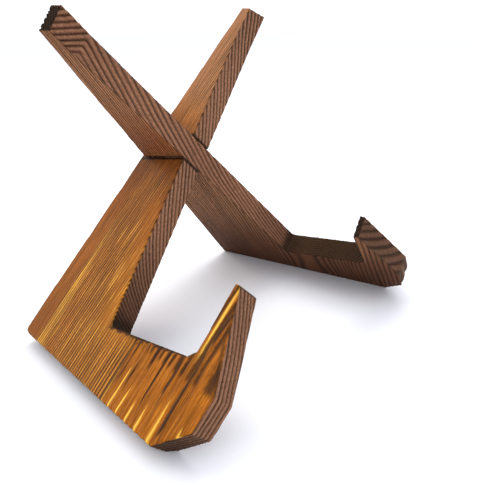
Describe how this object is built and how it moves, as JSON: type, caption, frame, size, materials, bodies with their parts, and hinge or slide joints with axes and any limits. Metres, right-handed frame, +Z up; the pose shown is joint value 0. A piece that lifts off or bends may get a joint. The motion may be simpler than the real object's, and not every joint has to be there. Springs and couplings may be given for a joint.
{
  "type": "book display stand",
  "caption": "Knock-down X stand for an open book: mirror-image J-shaped boards of torched softwood that slot together at a half lap, with feet and raised lips in front.",
  "frame": {"origin": "on the surface that the stand rests on, under the middle of the stand", "axes": "+Z up, +X to the reader's right across the stand, -Y towards the reader, so the lips are at -Y"},
  "size_m": [0.219, 0.1418, 0.1749],
  "materials": {
    "torched_pine_left": "torched, wire-brushed and oiled pine, golden brown",
    "torched_pine_right": "torched, wire-brushed and oiled pine, dark brown"
  },
  "bodies": {
    "left_board": {"left_board": "torched_pine_left"},
    "right_board": {"right_board": "torched_pine_right"}
  },
  "joints": [
    {"name": "lap_slide", "type": "slide", "parent": "left_board", "child": "right_board", "axis": [0, -0.9871, 0.1599], "range_m": [0, 0.04]}
  ]
}
